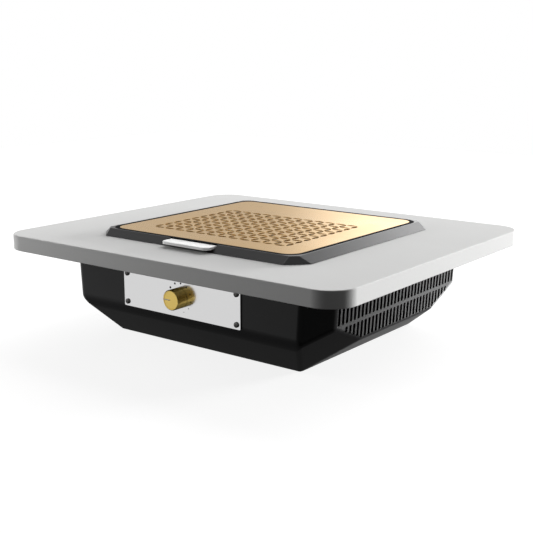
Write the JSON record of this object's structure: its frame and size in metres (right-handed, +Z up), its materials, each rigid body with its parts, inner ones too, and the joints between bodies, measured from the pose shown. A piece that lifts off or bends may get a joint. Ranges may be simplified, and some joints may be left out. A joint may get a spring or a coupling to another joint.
{
  "type": "nail dust collector",
  "caption": "Built-in nail dust collector: worktop panel with a gold grille and filter on top, fan in a vented tray below, speed knob in front.",
  "frame": {"origin": "middle of the housing's flat underside", "axes": "+Z up through the worktop, -Y towards the user, where the control plate and the pull tab are, +X along the worktop's long side"},
  "size_m": [0.425, 0.366, 0.1137],
  "materials": {
    "grey_laminate": "satin grey laminate over a board core",
    "black_plastic": "fine-textured black ABS",
    "gold_plate": "brushed gold anodised plate",
    "white_plastic": "white ABS",
    "filter_paper": "pleated white non-woven",
    "rubber": "black foam and rubber",
    "fan_plastic": "glass-filled black nylon",
    "steel": "zinc-plated steel",
    "dark_steel": "blackened steel",
    "copper": "wound copper on a steel stack",
    "cast_alloy": "cast aluminium",
    "polished_plate": "polished metal plate",
    "brass": "turned and knurled brass",
    "board_green": "green solder mask",
    "can_sleeve": "dark PVC sleeve",
    "gloss_black": "black moulded socket"
  },
  "bodies": {
    "base": {"worktop": "grey_laminate", "bezel": "black_plastic", "filter_well": "black_plastic", "inlet_ring": "black_plastic", "motor_stator": "copper", "motor_base": "cast_alloy", "lower_bearing": "steel", "upper_bearing": "steel", "motor_plate": "steel", "housing": "black_plastic", "control_plate": "polished_plate", "speed_control": "cast_alloy", "speed_control_nut": "steel", "control_board": "board_green", "capacitor": "can_sleeve", "terminal_block": "board_green", "power_inlet": "gloss_black", "motor_lead": "can_sleeve", "mains_lead": "can_sleeve", "damper_1": "rubber", "damper_screw_1": "steel", "housing_screw_1": "steel", "clamp_screw_1": "steel", "panel_screw_1": "dark_steel", "damper_2": "rubber", "damper_screw_2": "steel", "housing_screw_2": "steel", "clamp_screw_2": "steel", "panel_screw_2": "dark_steel", "damper_3": "rubber", "damper_screw_3": "steel", "housing_screw_3": "steel", "clamp_screw_3": "steel", "panel_screw_3": "dark_steel", "damper_4": "rubber", "damper_screw_4": "steel", "housing_screw_4": "steel", "clamp_screw_4": "steel", "panel_screw_4": "dark_steel", "motor_screw_1": "steel", "inlet_contact_1": "brass", "motor_screw_2": "steel", "inlet_contact_2": "brass", "motor_screw_3": "steel", "inlet_contact_3": "brass", "board_screw_1": "steel", "inlet_screw_1": "dark_steel", "board_screw_2": "steel", "inlet_screw_2": "dark_steel"},
    "fan": {"impeller": "fan_plastic", "motor_rotor": "steel", "motor_shaft": "steel"},
    "knob": {"knob": "brass", "knob_set_screw": "dark_steel", "speed_control_shaft": "steel"},
    "filter": {"filter_frame": "white_plastic", "filter_media": "filter_paper", "filter_seal": "rubber"},
    "grille": {"grille": "gold_plate", "grille_carrier": "black_plastic"}
  },
  "joints": [
    {"name": "fan_spin", "type": "hinge", "parent": "base", "child": "fan", "pos_m": [0, 0, 0.03], "axis": [0, 0, 1], "continuous": true},
    {"name": "knob_turn", "type": "hinge", "parent": "base", "child": "knob", "pos_m": [0, -0.138, 0.0607], "axis": [0, 1, 0], "range_deg": [0, 270]},
    {"name": "filter_lift", "type": "slide", "parent": "base", "child": "filter", "axis": [0, 0, 1], "range_m": [0, 0.08]},
    {"name": "grille_lift", "type": "slide", "parent": "filter", "child": "grille", "axis": [0, 0, 1], "range_m": [0, 0.04]}
  ]
}
